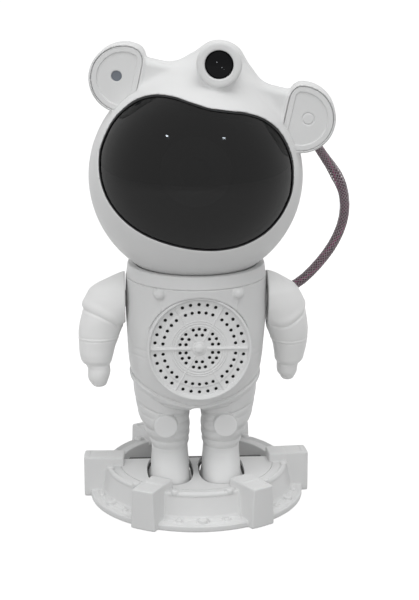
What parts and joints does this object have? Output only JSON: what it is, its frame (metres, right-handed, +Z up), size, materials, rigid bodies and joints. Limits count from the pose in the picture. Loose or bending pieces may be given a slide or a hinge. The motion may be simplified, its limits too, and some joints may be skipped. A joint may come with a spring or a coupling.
{
  "type": "galaxy projector night light",
  "caption": "Standing helmeted-figure light projector with smoked visor, star lens on top, belly speaker, swinging arms, ball-seated head, corded ear and round stand.",
  "frame": {"origin": "centre of the underside of the round stand", "axes": "+Z up, front of the figure towards -Y, the figure's own left towards +X"},
  "size_m": [0.1352, 0.1055, 0.2272],
  "materials": {
    "white_shell": "satin",
    "smoked_visor": "smoked mirror",
    "black_seal": "matte",
    "black_glass": "polished",
    "dark_plastic": "matte",
    "clear_lens": "polished",
    "nebula_film": "patterned",
    "steel": "plain",
    "heat_sink": "plain",
    "magnet": "plated",
    "circuit_board": "solder mask",
    "foam": "closed-cell foam",
    "braid": "woven braid",
    "grey_keys": "satin",
    "cone_paper": "matte",
    "low_friction": "waxy",
    "receiver": "dark tinted"
  },
  "bodies": {
    "base": {"stand_ring": "white_shell", "stand_deck": "white_shell", "boot_mat": "black_seal", "stand_cover": "white_shell", "foam_pad": "foam", "boot_screws": "steel", "leg_right": "white_shell", "leg_left": "white_shell", "torso_front": "white_shell", "torso_rear": "white_shell", "collar": "white_shell", "speaker_grille": "white_shell", "speaker_basket": "steel", "speaker_magnet": "magnet", "backpack": "white_shell", "pack_screws": "steel", "control_board": "circuit_board", "usb_port": "steel", "hose": "braid", "body_gland": "dark_plastic"},
    "neck": {"neck_seat": "low_friction", "neck_magnet": "magnet"},
    "slide": {"slide_ring": "low_friction"},
    "head": {"helmet_front": "white_shell", "helmet_rear": "white_shell", "visor": "smoked_visor", "visor_seal": "black_seal", "receiver_window": "receiver", "ear_plate_right": "white_shell", "ear_plate_left": "white_shell", "engine_bracket": "dark_plastic", "engine_barrel": "dark_plastic", "projection_lens": "clear_lens", "disc_motor": "steel", "lamp_board": "circuit_board", "heat_sink": "heat_sink", "head_board": "circuit_board", "laser_holder": "dark_plastic", "laser_module": "steel", "star_window": "black_glass", "seat_plate": "steel", "head_gland": "dark_plastic"},
    "nebula": {"nebula_disc": "nebula_film", "motor_shaft": "steel"},
    "right_arm": {"arm_right": "white_shell", "shoulder_clip_right": "steel"},
    "left_arm": {"arm_left": "white_shell", "shoulder_clip_left": "steel"},
    "cone": {"speaker_cone": "cone_paper"},
    "power_key": {"button_power": "grey_keys"},
    "light_key": {"button_light": "grey_keys"},
    "volume_down_key": {"button_volume_down": "grey_keys"},
    "volume_up_key": {"button_volume_up": "grey_keys"}
  },
  "joints": [
    {"name": "head_pan", "type": "hinge", "parent": "base", "child": "neck", "pos_m": [0, 0, 0.1611], "axis": [0, 0, 1], "range_deg": [-45, 45], "deforming": ["hose"]},
    {"name": "head_roll", "type": "hinge", "parent": "neck", "child": "slide", "pos_m": [0, 0, 0.1611], "axis": [0.1028, 0.9947, 0], "range_deg": [-30, 7], "deforming": ["hose"]},
    {"name": "head_pitch", "type": "hinge", "parent": "slide", "child": "head", "pos_m": [0, 0, 0.1611], "axis": [0.9719, -0.1004, -0.213], "range_deg": [-30, 14], "deforming": ["hose"]},
    {"name": "nebula_spin", "type": "hinge", "parent": "head", "child": "nebula", "pos_m": [-0.00047, -0.01805, 0.16745], "axis": [0.1028, 0.9947, 0], "continuous": true},
    {"name": "right_arm_swing", "type": "hinge", "parent": "base", "child": "right_arm", "pos_m": [-0.034, 0, 0.101], "axis": [-1, 0, 0], "range_deg": [-20, 100]},
    {"name": "left_arm_swing", "type": "hinge", "parent": "base", "child": "left_arm", "pos_m": [0.034, 0, 0.101], "axis": [-1, 0, 0], "range_deg": [-10, 110]},
    {"name": "speaker_travel", "type": "slide", "parent": "base", "child": "cone", "axis": [0, -0.9973, 0.0732], "range_m": [-0.0008, 0.0008], "stiffness_N_per_m": 2000},
    {"name": "power_press", "type": "slide", "parent": "base", "child": "power_key", "axis": [0, -1, 0], "range_m": [0, 0.0005], "stiffness_N_per_m": 1500},
    {"name": "light_press", "type": "slide", "parent": "base", "child": "light_key", "axis": [0, -1, 0], "range_m": [0, 0.0005], "stiffness_N_per_m": 1500},
    {"name": "volume_down_press", "type": "slide", "parent": "base", "child": "volume_down_key", "axis": [0, -1, 0], "range_m": [0, 0.0005], "stiffness_N_per_m": 1500},
    {"name": "volume_up_press", "type": "slide", "parent": "base", "child": "volume_up_key", "axis": [0, -1, 0], "range_m": [0, 0.0005], "stiffness_N_per_m": 1500}
  ]
}
